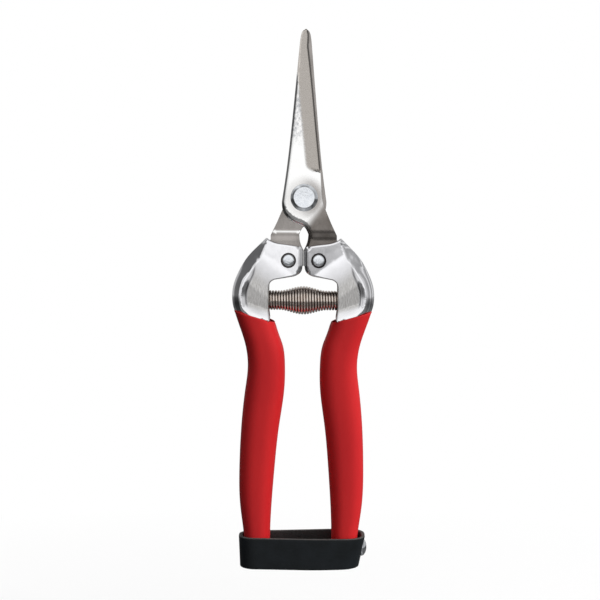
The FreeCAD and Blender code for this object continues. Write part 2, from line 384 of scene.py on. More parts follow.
def ramp(tree, value, stops):
    """A colour ramp: stops are (position, colour or grey level)."""
    made = node(tree, "ShaderNodeValToRGB")
    elements = made.color_ramp.elements
    while len(elements) < len(stops):
        elements.new(0.5)
    for element, (position, colour) in zip(elements, stops):
        element.position = position
        grey = isinstance(colour, (int, float))
        element.color = (colour, colour, colour, 1) if grey else (*colour, 1)
    tree.links.new(value, made.inputs["Fac"])
    return made.outputs["Color"]


def blend_colours(tree, share, a, b, mode="MIX"):
    """Colour a with a share of b: each is a socket, a colour or a grey level."""
    made = node(tree, "ShaderNodeMix", prop_data_type="RGBA", prop_blend_type=mode)
    for socket, value in ((made.inputs["Factor"], share), (made.inputs[6], a), (made.inputs[7], b)):
        if isinstance(value, tuple):
            socket.default_value = (*value, 1)
        elif isinstance(value, float):
            socket.default_value = value if socket.type == "VALUE" else (value, value, value, 1)
        else:
            tree.links.new(value, socket)
    return made.outputs[2]


def arithmetic(tree, operation, *values):
    """A sum of one kind on sockets and numbers."""
    made = node(tree, "ShaderNodeMath", prop_operation=operation)
    for socket, value in zip(made.inputs, values):
        if isinstance(value, (float, int)):
            socket.default_value = value
        else:
            tree.links.new(value, socket)
    return made.outputs[0]


def bump(tree, shader, heights):
    """Bumps one on the other: heights are (value, strength, distance in metres)."""
    normal = None
    for value, strength, distance in heights:
        made = node(tree, "ShaderNodeBump", Strength=strength, Distance=distance)
        tree.links.new(value, made.inputs["Height"])
        if normal is not None:
            tree.links.new(normal, made.inputs["Normal"])
        normal = made.outputs["Normal"]
    tree.links.new(normal, shader.inputs["Normal"])


def attribute(tree, name):
    """The value that set_attribute gave to the vertices."""
    return node(tree, "ShaderNodeAttribute", prop_attribute_name=name).outputs["Fac"]


def plated_steel():
    """Bright plated sheet: brushed satin panels, painted shade in the creases and soft waves from the
    press.
    """
    mat, tree, shader = metal("plated steel")
    grain = noise(tree, 5200, 3, stretch=(1, 1, 0.12))
    cloud = noise(tree, 170, 5, 0.6)
    ripple = noise(tree, 120, 2, stretch=(1, 1, 0.6))
    brushed = attribute(tree, "brushed")
    colour = ramp(tree, cloud, [(0.3, (0.86, 0.86, 0.88)), (0.7, (0.95, 0.95, 0.98))])
    satin = ramp(tree, grain, [(0.3, (0.45, 0.44, 0.43)), (0.7, (0.67, 0.66, 0.65))])
    colour = blend_colours(tree, brushed, colour, satin)
    # painted shade: near black in the groove round the rivet and along the rim's foot
    colour = blend_colours(tree, attribute(tree, "recess_shade"), colour, (0.045, 0.042, 0.04))
    tree.links.new(colour, shader.inputs["Base Color"])
    rough = arithmetic(tree, "ADD", ramp(tree, cloud, [(0.3, 0.06), (0.75, 0.13)]),
                       ramp(tree, grain, [(0.35, 0.0), (0.7, 0.05)]))
    tree.links.new(blend_colours(tree, brushed, rough, 0.26), shader.inputs["Roughness"])
    bump(tree, shader, [(grain, 0.25, 0.00002), (ripple, 0.2, 0.0004)])
    return mat


def blade_steel():
    """Polished flats, a bevel ground across with fine lines, a matt mill finish on the tang, a ring of wear
    with painted shadow round the pivot, and painted shade at the honed edge and stop face.
    """
    mat, tree, shader = metal("blade steel")
    bevel, dullness_and_shade = attribute(tree, "bevel"), attribute(tree, "dullness_and_shade")
    lines = noise(tree, 9000, 3, stretch=(0.05, 0.3, 1))
    fine = noise(tree, 8000, 3, stretch=(1, 1, 0.05))
    cloud = noise(tree, 260, 4, 0.6, stretch=(1, 1, 0.7))
    speckle = noise(tree, 1100, 4, 0.7, stretch=(1, 1, 0.8))
    broad = noise(tree, 130, 3, stretch=(1, 1, 0.5))
    flat_colour = ramp(tree, cloud, [(0.3, (0.93, 0.93, 0.92)), (0.7, (0.99, 0.99, 0.99))])
    spots = ramp(tree, speckle, [(0.35, (0.42, 0.43, 0.45)), (0.6, (0.97, 0.96, 0.95))])
    ground = ramp(tree, lines, [(0.3, (0.66, 0.61, 0.56)), (0.7, (0.84, 0.79, 0.74))])
    mill_and_shadow = ramp(tree, broad, [(0.35, (0.19, 0.17, 0.155)), (0.65, (0.36, 0.33, 0.31))])
    colour = blend_colours(tree, attribute(tree, "mottle"), flat_colour, spots)
    colour = blend_colours(tree, bevel, colour, ground)
    # this mix darkens the tang and inner face with their mill finish, and a ring round the pivot with wear
    # and painted shadow
    colour = blend_colours(tree, dullness_and_shade, colour, mill_and_shadow)
    # painted shade: near black where the edge attribute marks the honed edge and the stop face
    colour = blend_colours(tree, attribute(tree, "edge"), colour, (0.16, 0.15, 0.14))
    tree.links.new(colour, shader.inputs["Base Color"])
    polished = ramp(tree, cloud, [(0.3, 0.05), (0.75, 0.14)])
    rough = blend_colours(tree, bevel, polished, ramp(tree, lines, [(0.3, 0.24), (0.7, 0.36)]))
    tree.links.new(blend_colours(tree, dullness_and_shade, rough, 0.24), shader.inputs["Roughness"])
    bump(tree, shader, [(blend_colours(tree, bevel, fine, lines), 0.3, 0.00003)])
    return mat


def rivet_steel():
    """Bluish bright steel with the small dents of a set rivet."""
    mat, tree, shader = metal("rivet steel")
    cloud = noise(tree, 900, 5, 0.65)
    fine = noise(tree, 6000, 3)
    colour = ramp(tree, cloud, [(0.3, (0.70, 0.73, 0.78)), (0.7, (0.92, 0.95, 0.98))])
    tree.links.new(colour, shader.inputs["Base Color"])
    tree.links.new(ramp(tree, cloud, [(0.3, 0.08), (0.75, 0.2)]), shader.inputs["Roughness"])
    bump(tree, shader, [(fine, 0.3, 0.00002), (cloud, 0.4, 0.00008)])
    return mat


def spring_steel():
    """Drawn wire with a bronze tint, and painted shade between the turns."""
    mat, tree, shader = metal("spring steel")
    cloud = noise(tree, 700, 4)
    colour = ramp(tree, cloud, [(0.3, (0.74, 0.62, 0.54)), (0.7, (0.95, 0.86, 0.80))])
    # painted shade: near black on the sides of the wire that face the next turns
    colour = blend_colours(tree, attribute(tree, "turn_shade"), colour, (0.05, 0.04, 0.03))
    tree.links.new(colour, shader.inputs["Base Color"])
    tree.links.new(ramp(tree, cloud, [(0.3, 0.14), (0.75, 0.30)]), shader.inputs["Roughness"])
    bump(tree, shader, [(noise(tree, 5000, 2), 0.2, 0.00001)])
    return mat


def vinyl():
    """Dipped vinyl: soft sheen, faint mottling and a very fine grain."""
    mat, tree, shader = material("vinyl")
    cloud = noise(tree, 60, 4, 0.6, stretch=(1, 1, 0.6))
    grain = noise(tree, 2600, 4, 0.6)
    dip = noise(tree, 110, 2, stretch=(1, 1, 0.5))
    colour = ramp(tree, cloud, [(0.3, (0.54, 0.012, 0.016)), (0.7, (0.62, 0.016, 0.018))])
    tree.links.new(colour, shader.inputs["Base Color"])
    tree.links.new(ramp(tree, grain, [(0.3, 0.42), (0.7, 0.58)]), shader.inputs["Roughness"])
    shader.inputs["Specular IOR Level"].default_value = 0.2
    bump(tree, shader, [(grain, 0.25, 0.00006), (dip, 0.2, 0.0005)])
    return mat


def leather():
    """Black leather: smooth outside, rougher on the flesh side, and greyer where it is cut."""
    mat, tree, shader = material("leather")
    raw = attribute(tree, "raw")
    cells = node(tree, "ShaderNodeTexVoronoi", Scale=1700.0)
    tree.links.new(object_place(tree), cells.inputs["Vector"])
    pores = noise(tree, 3200, 5, 0.65)
    cloud = noise(tree, 150, 4)
    coat = ramp(tree, cloud, [(0.3, (0.006, 0.008, 0.009)), (0.7, (0.011, 0.014, 0.017))])
    wear_and_shadow = ramp(tree, pores, [(0.3, (0.010, 0.010, 0.010)), (0.7, (0.060, 0.060, 0.058))])
    finish = blend_colours(tree, attribute(tree, "flesh"), coat, wear_and_shadow)
    fibre = ramp(tree, pores, [(0.3, (0.045, 0.044, 0.042)), (0.7, (0.11, 0.108, 0.104))])
    tree.links.new(blend_colours(tree, raw, finish, fibre), shader.inputs["Base Color"])
    rough = blend_colours(tree, raw, ramp(tree, pores, [(0.3, 0.42), (0.7, 0.6)]), 0.85)
    tree.links.new(rough, shader.inputs["Roughness"])
    shader.inputs["Specular IOR Level"].default_value = 0.22
    bump(tree, shader, [(cells.outputs["Distance"], 0.25, 0.00012), (pores, 0.25, 0.0001)])
    return mat


def floor_paint():
    """Pale paint that takes shadows near the tool and glows evenly further off."""
    mat, tree, shader = material("pale floor")
    cloud = noise(tree, 6, 3)
    away = node(tree, "ShaderNodeVectorMath", prop_operation="LENGTH")
    tree.links.new(object_place(tree), away.inputs[0])
    far = ramp(tree, away.outputs["Value"], [(0.0, 0.12), (0.3, 1.0)])
    paint = ramp(tree, cloud, [(0.3, 0.86), (0.7, 0.88)])
    tree.links.new(blend_colours(tree, far, paint, 0.0), shader.inputs["Base Color"])
    tree.links.new(far, shader.inputs["Emission Strength"])
    shader.inputs["Roughness"].default_value = 0.9
    shader.inputs["Specular IOR Level"].default_value = 0.0
    return mat


# ---------------------------------------------------------------- blades

BLADE = 2.4                         # thickness of the forging
GAP = 0.05                          # from the middle plane to the inner face of either blade
TIP_Z = cad_box("front_blade")[1][2]
PIVOT_HOLE, PIVOT_SHANK = 2.65, 2.6
JOGGLE = (116.9, 119.9)             # heights between which the tang steps to the middle plane
PLUNGE_X = [0.4, 1.3, 3.0, 5.6]     # the lower end of the ground bevel, from its ridge to the edge
PLUNGE_Z = [143.2, 141.6, 140.7, 140.2]
HONED_FROM = 141.0                  # height above which the right edge is the cutting edge


def blade_outline():
    """The blade's whole side view, and the left stretch of it that has a wide chamfer."""
    tip, back_top, heel_top, window_top = (0.2, TIP_Z), (-2.2, 183.5), (-7.8, 130.0), (1.6, 118.6)
    stop_top, stop_foot = (0.05, 113.0), (0.05, 107.6)
    ricasso_foot, edge_foot, edge_top = (7.9, 126.4), (5.6, 142.2), (1.0, 184.0)
    spine = spline([tip, (-1.1, 189.2), (-1.7, 187.6), back_top], 0.3)
    back = spline([back_top, (-4.4, 158.8), (-6.7, 137.6), heel_top], 0.6)
    heel = spline([heel_top, (-7.4, 126.9), (-5.6, 124.3), (-2.4, 122.4), (0.2, 121.1), window_top])
    window = spline([window_top, (1.3, 116.0), stop_top])
    leg = straight([stop_top, stop_foot, (3.4, 104.8), (11.0, 103.0), (13.4, 102.6), (13.4, 97.2),
                    (10.6, 96.9), (10.6, 93.7), (13.4, 93.4), (13.4, 90.5), (18.0, 90.5), (18.0, 106.0),
                    (11.6, 111.0), (11.6, 118.2), (9.4, 122.8), ricasso_foot], 0.5)
    ricasso = spline([ricasso_foot, (6.6, 130.0), (6.0, 135.0), edge_foot], 0.4)
    edge = spline([edge_foot, (3.8, 158.9), (2.7, 169.7), edge_top], 0.5)
    end = spline([edge_top, (1.15, 187.2), (0.85, 189.1), tip], 0.3)
    chamfered = joined(spine, back, heel, window, straight([stop_top, stop_foot]))
    return joined(spine, back, heel, window, leg, ricasso, edge, end)[:-1], chamfered


def blade_middle(z):
    """Depth of the middle of the forging: its blade lies in front, and its tang halfway."""
    return mix(-GAP - BLADE / 2, 0.0, fade(z, *JOGGLE))


def bevel_plane(x, z):
    """Front height of the ground bevel, which falls from the ridge to the cutting edge."""
    return -9.292 + 0.4228 * x + 0.0463 * z


def blade_faces(points, outline, chamfered):
    """Front and back height of the blade at each point of its side view."""
    edge_thickness, edge_radius, hone_width, hone_slope, chamfer_slope = 0.12, 0.16, 0.5, 1.1, 0.85
    x, z = points[:, 0], points[:, 1]
    front = blade_middle(z) - BLADE / 2
    back = blade_middle(z) + BLADE / 2
    ground = smooth(z - np.interp(x, PLUNGE_X, PLUNGE_Z), 0.0, 1.1)
    front = mix(front, np.maximum(front, bevel_plane(x, z)), ground)
    from_edge = nearest(points, closed(outline))[0]
    round_off = rounded(from_edge, edge_radius)
    chamfer = mix(1.15, 0.8, smooth(z, 124.0, 134.0)) * (1 - 0.6 * smooth(z, 172.0, 186.0))
    chamfer_drop = chamfer_slope * np.clip(chamfer - nearest(points, chamfered)[0], 0, None)
    hone_drop = hone_slope * np.clip(hone_width - from_edge, 0, hone_width)
    honed = (x > 0.5) & (z > HONED_FROM)
    front = front + np.where(honed, hone_drop, np.maximum(round_off, chamfer_drop))
    front = np.minimum(front, back - edge_thickness)
    return front, back - np.where(z < HONED_FROM, 0.3 * round_off, 0.0)


def mark_blade(blade, outline):
    """Where the blade is ground, dull from the mill, dull from wear with a painted shadow round the pivot,
    mottled, or darkened with painted shade at the honed edge and the stop face.
    """
    co = coordinates(blade)
    x, y, z = co.T
    in_front = y < -GAP - 0.02
    above_plunge = smooth(z - np.interp(x, PLUNGE_X, PLUNGE_Z), 0.0, 0.4)
    off_flat = smooth(bevel_plane(x, z) + GAP + BLADE, 0.0, 0.12)
    set_attribute(blade, "bevel", off_flat * above_plunge * in_front)
    milled = smooth(x + 0.7 * (124.0 - z), 0.5, 5.0)
    # wear with painted shadow: a duller, darker ring round the pivot, heavier to the right
    wear_and_shadow = fade(np.hypot(x, z - PIVOT_Z), 4.6, 8.6) * mix(0.25, 0.8, smooth(x, -3.0, 5.0))
    inner_face = y > blade_middle(z) + BLADE / 2 - 0.35
    bend_line = (z > 119.1) & (z < 119.9)
    dull_inside = np.where(bend_line, 0.0, 0.9)
    set_attribute(blade, "dullness_and_shade", np.where(inner_face, dull_inside, np.maximum(milled, wear_and_shadow)))
    set_attribute(blade, "mottle", smooth(z, 148.0, 156.0) * fade(z, 166.0, 172.0))
    # painted shade: a dark line along the honed edge and over the stop face, which stand in shade
    from_edge = nearest(co[:, [0, 2]], closed(outline))[0]
    honed = (from_edge < 0.55) & (x > 0.3) & (z > HONED_FROM + 0.5) & in_front
    stop_face = (x < 1.0) & (z < 113.6)
    set_attribute(blade, "edge", honed | stop_face)


def make_blade(rivet):
    outline, chamfered = blade_outline()
    holes = [circle(0, PIVOT_Z, PIVOT_HOLE), circle(*rivet)]
    rings = [0.05, 0.14, 0.27, 0.45, 0.7, 1.0]
    points, triangles, loops = filled(outline, rings, 0.62, holes)
    front, back = blade_faces(points, outline, chamfered)
    blade = two_faced("front_blade_steel", points, triangles, loops, front, back)
    mark_blade(blade, outline)
    return shade(blade, 40)


# ---------------------------------------------------------------- handles

SHEET = 1.45                        # thickness of the pressed sheet
EAR = BLADE / 2 + SHEET             # half the handle's thickness where it is pinched onto the tang,
PANEL = 4.75                        # on its flat panel,
RIM = 5.75                          # on its raised rim,
UNDER_GRIP = 3.6                    # and where the grip hides it
SHOULDER = [(13.2, 117.2), (16.2, 114.2), (19.8, 110.3), (22.8, 105.2), (24.6, 100.5),
            (25.0, 96.0), (24.2, 91.8), (22.3, 88.6)]
CREASE_POINT = (10.0, 103.0)        # a point on the crease between ear and panel,
CREASE_WAY = (0.585, -0.811)        # and the way across it, towards the panel

GRIP_TOP = [(24.5, 91.8), (10.6, 87.8)]
GRIP_SLOPE = (GRIP_TOP[0][1] - GRIP_TOP[1][1]) / (GRIP_TOP[0][0] - GRIP_TOP[1][0])
GRIP_HALF = 6.5                     # half the grip's depth
SQUARENESS = 2.6                    # 2 would make the grip's section an ellipse


def handle_outline():
    """The shoulder, which is the handle's outer edge, and the whole outline that starts with it."""
    foot, waist_foot, waist_top, ear_foot = (12.2, 86.4), (12.0, 93.0), (12.0, 99.8), (10.2, 102.7)
    ear_left, stop_foot, stop_top, ear_top = (3.6, 103.8), (0.35, 107.4), (0.35, 112.8), (2.0, 114.5)
    shoulder = spline(SHOULDER, 0.4)
    inner = joined(straight([SHOULDER[-1], foot], 0.4),
                   spline([foot, (11.7, 88.0), (11.8, 90.6), waist_foot], 0.4),
                   straight([waist_foot, waist_top], 0.4),
                   spline([waist_top, (11.6, 101.7), ear_foot], 0.3))
    ear = joined(straight([ear_foot, ear_left], 0.4),
                 spline([ear_left, (1.9, 104.5), (0.8, 105.6), stop_foot], 0.25),
                 straight([stop_foot, stop_top], 0.4),
                 spline([stop_top, (0.8, 114.0), ear_top], 0.25),
                 spline([ear_top, (6.0, 115.1), (10.5, 115.9), SHOULDER[0]], 0.4))
    return shoulder, joined(shoulder, inner, ear)[:-1]


def rim_place(points, shoulder):
    """Distance in from the outer edge, the way down it, and the rim's width there."""
    narrow, wide = 1.0, 5.3
    from_outer, down = nearest(points, shoulder)
    return from_outer, down, mix(narrow, wide, smooth(down, 0.0, 15.0))


def past_crease(points):
    """How far each point lies beyond the crease, on the side of the panel."""
    return (points - CREASE_POINT) @ CREASE_WAY


def below_grip_top(points):
    """How far each point lies below the grip's sloping top edge."""
    inner_x, inner_z = GRIP_TOP[1]
    return inner_z + (points[:, 0] - inner_x) * GRIP_SLOPE - points[:, 1]


def lip_depth(x):
    """Half the depth that is free inside the rounded lip of the grip."""
    side_inset, front_inset = 0.3, 0.55
    (outer_x, _), (inner_x, _) = GRIP_TOP
    middle, reach = (inner_x + outer_x) / 2, (outer_x - inner_x) / 2 - side_inset
    across = np.clip(abs(x - middle) / reach, 0, 1)
    return (GRIP_HALF - front_inset) * (1 - across ** SQUARENESS) ** (1 / SQUARENESS)


def turn_in(points):
    """0 on the panel, 1 at the grip's top edge, where the rim turns in across the panel."""
    start, end = 3.9, 0.5
    to_grip = nearest(points, np.array(GRIP_TOP))[0]
    to_grip[below_grip_top(points) > 0] = 0
    return np.clip((start - to_grip) / (start - end), 0, 1)


def rim_rise(points, from_outer, down, width):
    """0 on ear and panel, 1 on the rim, both along the outer edge and along the grip's top."""
    climb = np.clip((width - from_outer) / (0.5 * width), 0, 1)
    outside = smooth(climb) * smooth(down, 8.0, 15.0)
    low = turn_in(points)
    along_grip = mix(smooth(low), np.sin(low * math.pi / 2), smooth(points[:, 0], 14.0, 19.0))
    return np.maximum(outside, along_grip)


def edge_bend(from_outer, down):
    """Share of the depth that is left where the sheet bends round to the outer edge."""
    across = np.clip(from_outer / np.clip(0.3 + 0.5 * down, 0.3, 3.6), 0, 1)
    round_bend = np.sqrt(1 - (1 - across) ** 2)
    facet = np.sqrt(across) * 0.12 + 0.88 * across
    return mix(round_bend, facet, mix(0.95, 0.12, smooth(down, 10.0, 18.0)))


def handle_half_depth(points, shoulder, open_edge, rivet):
    """Half the handle's thickness at each point of its side view."""
    coin_width, coin_slope = 1.2, 0.68
    groove_radius, groove_wall, groove_depth = 2.66, 0.18, 0.6
    x, z = points[:, 0], points[:, 1]
    from_outer, down, width = rim_place(points, shoulder)
    to_open = nearest(points, open_edge)[0]
    level = mix(EAR, PANEL, smooth(past_crease(points), -5.0, 7.0))
    crest = np.maximum(mix(EAR, RIM, smooth(down, 4.0, 20.0)), level)
    depth = mix(level, crest, rim_rise(points, from_outer, down, width))
    depth = depth * edge_bend(from_outer, down)
    round_off = rounded(to_open, 0.5)
    coined = coin_slope * np.clip(coin_width - to_open, 0, coin_width)
    edge_drop = mix(round_off, np.maximum(coined, round_off), fade(x, 1.5, 2.6))
    depth = depth - edge_drop * (from_outer > 0.5)
    below = below_grip_top(points)
    depth = np.where(below > -0.05, np.minimum(depth, lip_depth(x)), depth)
    depth = np.where(below > 0.45, np.minimum(depth, UNDER_GRIP), depth)
    from_rivet = np.hypot(x - rivet[0], z - rivet[1])
    sink = groove_depth * np.clip((groove_radius - from_rivet) / groove_wall, 0, 1)
    return np.where(from_outer < 1e-6, 0.0, depth - sink)


def mark_handle(handle, shoulder, rivet):
    """Painted shade in the groove round the rivet and at the rim's foot, and brushing on the panel."""
    co = coordinates(handle)
    place = co[:, [0, 2]]
    from_outer, down, width = rim_place(place, shoulder)
    off_foot = fade(turn_in(place), 0.0, 0.5)
    from_rivet = np.hypot(place[:, 0] - rivet[0], place[:, 1] - rivet[1])
    # painted shade: a dark ring in the groove round the rivet, and a dark line along the rim's foot
    groove = fade(abs(from_rivet - 2.34), 0.22, 0.36) * (abs(co[:, 1]) > 1.5)
    crease = np.exp(-((from_outer - width + 0.3) / 0.33) ** 2) * smooth(down, 8.0, 13.0) * off_foot
    set_attribute(handle, "recess_shade", np.maximum(groove, 0.9 * crease))
    panel = smooth(past_crease(place), -1.0, 5.0) * smooth(from_outer - width, -0.3, 0.4)
    set_attribute(handle, "brushed", panel * off_foot)


def make_handle(rivet):
    """A folded sheet, closed along the shoulder, whose ear leans a little down at the front."""
    lean_top, lean_rate = 116.5, 0.023
    shoulder, outline = handle_outline()
    rings = [0.02, 0.07, 0.15, 0.27, 0.42, 0.62, 0.88, 1.2, 1.6, 2.1, 2.7, 3.3]
    points, triangles, _ = filled(outline, rings, 0.42, [circle(*rivet, 40)])
    open_edge = np.vstack([outline[len(shoulder) - 1:], outline[:1]])
    depth = handle_half_depth(points, shoulder, open_edge, rivet)
    lean = lean_rate * np.clip(lean_top - points[:, 1], 0, 14) * fade(past_crease(points), -2.8, 5.2)
    lean *= depth > 1.5
    handle = two_faced("right_handle_steel", points, triangles, [], lean - depth, depth)
    solid = handle.modifiers.new("sheet", "SOLIDIFY")
    solid.thickness = SHEET * MM
    solid.offset = -1
    apply_modifiers(handle)
    mark_handle(handle, shoulder, rivet)
    return shade(handle, 50)


# ---------------------------------------------------------------- grips

# Height, inner side and outer side of the grip.
GRIP_ROWS = [(1.0, 10.8, 19.4), (4.0, 10.85, 19.7), (11.0, 10.9, 20.2), (22.0, 10.5, 21.6),
             (36.0, 9.5, 22.0), (51.0, 8.0, 21.4), (64.0, 6.3, 20.1), (72.0, 6.15, 19.3),
             (79.0, 6.8, 20.2), (85.0, 8.5, 22.5), (89.0, 9.6, 24.0), (92.0, 10.4, 24.85)]
VINYL = 1.3                         # thickness of the dipped coat
END_ROUND = [(2.6, 0.0), (1.6, 0.05), (0.8, 0.35), (0.25, 0.9)]     # inset and lift, from the end's middle
LIP_ROUND = [(0.0, -0.45), (0.04, -0.2), (0.12, -0.05), (0.22, 0.0), (0.32, -0.05), (0.38, -0.25),
             (0.4, -0.9)]


def grip_ring(z, inner, outer, half, slope, count=72):
    """A rounded-square ring, with its outer side higher by the slope."""
    middle, reach = (inner + outer) / 2, (outer - inner) / 2
    ring = []
    for k in range(count):
        a = 2 * math.pi * k / count
        c, s = math.cos(a), math.sin(a)
        x = middle + reach * math.copysign(abs(c) ** (2 / SQUARENESS), c)
        y = half * math.copysign(abs(s) ** (2 / SQUARENESS), s)
        ring.append((x, y, z + slope * (x - middle)))
    return ring


def make_grip():
    """A hollow grip: up the outside from its closed end, round the lip and down the inside."""
    rows = spline(GRIP_ROWS, 1.2)
    top = (GRIP_TOP[0][1] + GRIP_TOP[1][1]) / 2
    slim_end = 0.4

    def slope(z):
        return GRIP_SLOPE * smooth(z, top - 16.0, top)

    z, inner, outer = rows[0]
    rings = [grip_ring(z + lift, inner + inset, outer - inset, GRIP_HALF - slim_end - inset, 0)
             for inset, lift in END_ROUND]
    rings += [grip_ring(z, inner, outer, GRIP_HALF - slim_end * fade(z, 0.0, 12.0), slope(z))
              for z, inner, outer in rows[2:] if z <= top - 0.9]
    _, inner, outer = rows[np.argmin(abs(rows[:, 0] - top))]
    rings += [grip_ring(top + lift, inner + inset, outer - inset, GRIP_HALF - inset, GRIP_SLOPE)
              for inset, lift in LIP_ROUND]
    rings += [grip_ring(z, inner + VINYL, outer - VINYL, GRIP_HALF - VINYL, slope(z))
              for z, inner, outer in rows[::-1] if 3.0 <= z <= top - 2.0]
    indices = np.arange(len(rings) * len(rings[0])).reshape(len(rings), -1).tolist()
    return shade(new_object("right_grip_vinyl", np.vstack(rings), skin(indices)), 60)


# ---------------------------------------------------------------- spring and strap

def make_spring():
    """A barrel-shaped coil along X, wound from round wire."""
    low, high = cad_box("spring")
    reach, bulge, end_radius, mid_radius = 13.2, 8.5, 3.05, 4.6
    wire, sides, turns, per_turn = 0.42, 12, 26, 40
    share = np.arange(turns * per_turn + 1) / (turns * per_turn)
    x = mix(wire - reach, reach - wire, share)
    swell = np.sin(np.clip(1 - abs(x) / bulge, 0, 1) * math.pi / 2) ** 2
    turn = 2 * math.pi * turns * share
    out = np.stack([np.zeros(len(x)), np.cos(turn), np.sin(turn)], axis=1)
    path = out * mix(end_radius, mid_radius, swell)[:, None]
    path += np.stack([x, np.zeros(len(x)), np.full(len(x), (low[2] + high[2]) / 2)], axis=1)
    along = np.gradient(path, axis=0)
    side = np.cross(along / np.linalg.norm(along, axis=1)[:, None], out)
    a = 2 * math.pi * np.arange(sides) / sides
    around = out[:, None] * np.cos(a)[None, :, None] + side[:, None] * np.sin(a)[None, :, None]
    vertices = (path[:, None] + wire * around).reshape(-1, 3)
    rings = np.arange(len(vertices)).reshape(-1, sides).tolist()
    spring = new_object("spring_wire", vertices, skin(rings))
    # painted shade: 1 where the wire faces the neighbouring turns or inwards, 0 where it faces out
    set_attribute(spring, "turn_shade", np.tile(fade(np.cos(a), 0.1, 0.62), len(path)))
    return shade(spring, 60)


def make_strap():
    """A band with rounded edges that leans at its ends, bows along its sides and lies unevenly."""
    low, high = cad_box("strap")
    half_x, half_y, height = high[0], high[1], high[2] - low[2]
    thickness, edge_round, clearance = 1.4, 0.35, 0.3
    middle = rounded_rectangle(half_x - thickness / 2, half_y - thickness / 2 - clearance, 5.5, 14, 1.2)
    section = rounded_rectangle(thickness / 2, height / 2, edge_round, 5, 0.9)
    along = np.roll(middle, -1, axis=0) - np.roll(middle, 1, axis=0)
    along /= np.linalg.norm(along, axis=1)[:, None]
    path_x, path_y, way_x, way_y = [column[:, None] for column in (*middle.T, *along.T)]
    outward, up = section.T
    z = low[2] + height / 2 + up
    down = 1 - z / height
    across = path_x / half_x
    right, left, back = smooth(across, 0.3, 1.0), smooth(-across, 0.5, 1.0), smooth(path_y, -2.0, 6.0)
    lean = 2.2 * right * down - 0.9 * right - 0.55 * left * down
    bow = 0.35 * np.sin(2.6 * across + 0.5) * smooth(1 - abs(across), 0.0, 0.35) - 0.3 * down
    lift = 0.35 * smooth(across, -0.6, 0.8) * back + 0.3 * down * (path_y < 0)
    lift = lift + 0.45 * smooth(across, 0.1, 1.0) * (0.4 + 0.6 * down) - 0.175 * back * (1 - across)
    lift = np.where((z > height - 1) | (lift > 0), lift, 0.0)
    vertices = np.stack([path_x + way_y * outward - lean,
                         path_y - way_x * outward + bow * np.copysign(1.0, path_y), z + lift], axis=2)
    rings = np.arange(vertices.size // 3).reshape(len(middle), -1).tolist()
    strap = new_object("strap_leather", vertices.reshape(-1, 3), skin(rings + rings[:1], False))
    cut = smooth(abs(up), height / 2 - edge_round + 0.05, height / 2 - 0.02)
    set_attribute(strap, "raw", np.tile(cut, len(middle)))
    set_attribute(strap, "flesh", np.tile(smooth(-outward, 0.0, 0.5), len(middle)))
    return shade(strap, 60)


# ---------------------------------------------------------------- rivets

STRAP_SHANK = 1.4                   # radius of the strap rivet's shank


def quarter_round(start, end, from_face, count):
    """Points from one (along, radius) to another on an outward quarter-round.

    It leaves the start across the axis if from_face, and otherwise along the axis."""
    (a0, r0), (a1, r1) = start, end
    points = []
    for k in range(1, count + 1):
        t = k / count * math.pi / 2
        rising, falling = math.sin(t), 1 - math.cos(t)
        points.append((mix(a0, a1, falling if from_face else rising),
                       mix(r0, r1, rising if from_face else falling)))
    return points


def node_on_axis(node_name, axis_number):
    """A node's lowest and highest corner, and where its turning axis starts."""
    low, high = cad_box(node_name)
    centre = (low + high) / 2
    centre[axis_number] = 0
    return low, high, centre


def make_pivot_rivet():
    """A flat head with a wide chamfer in front, a shank, and a peened dome on the washer behind."""
    low, high = cad_box("pivot_rivet")
    _, washer_high = cad_box("pivot_washer")
    front, head_radius = low[1], (high[0] - low[0]) / 2
    seat = -GAP - BLADE
    flat = head_radius - 1.1
    foot, corner = (front + 0.85, head_radius - 0.1), (front + 0.97, head_radius)
    dome_foot = (washer_high[1] + 0.12, 3.7)
    profile = [(front + 0.05, 0), (front + 0.03, flat * 0.5), (front, flat - 0.25), (front, flat - 0.05),
               (front + 0.06, flat + 0.05), foot, *quarter_round(foot, corner, True, 3),
               (seat - 0.12, head_radius), (seat, head_radius - 0.12), (seat, PIVOT_SHANK),
               (washer_high[1], PIVOT_SHANK), (washer_high[1], 3.55), dome_foot,
               *quarter_round(dome_foot, (high[1], 0.0), False, 9)]
    rivet = lathe("pivot_rivet_steel", profile, np.array((0, 0, PIVOT_Z)), (0, 1, 0), 96)
    return shade(rivet, 40)


def make_washer(name, node_name, axis, hole):
    """A washer with its rims chamfered."""
    k = int(np.argmax(axis))
    low, high, centre = node_on_axis(node_name, k)
    other = 0 if k else 1
    radius = (high[other] - low[other]) / 2
    a, b, c = low[k], high[k], 0.12
    profile = [(a, hole), (a, radius - c), (a + c, radius), (b - c, radius), (b, radius - c), (b, hole),
               (a, hole)]
    return shade(lathe(name, profile, centre, axis, 80), 40)


def make_tang_rivet():
    """A pin with a low crown at either end."""
    low, high, centre = node_on_axis("right_tang_rivet", 1)
    radius, end = (high[0] - low[0]) / 2, high[1]
    half = [(end + 0.05, 0), (end + 0.045, radius * 0.5), (end + 0.03, radius - 0.36), (end, radius - 0.22),
            (end - 0.07, radius - 0.1), (end - 0.2, radius - 0.02), (end - 0.4, radius)]
    profile = [(-a, r) for a, r in half] + half[::-1]
    return shade(lathe("right_tang_rivet_steel", profile, centre, (0, 1, 0), 64), 40)


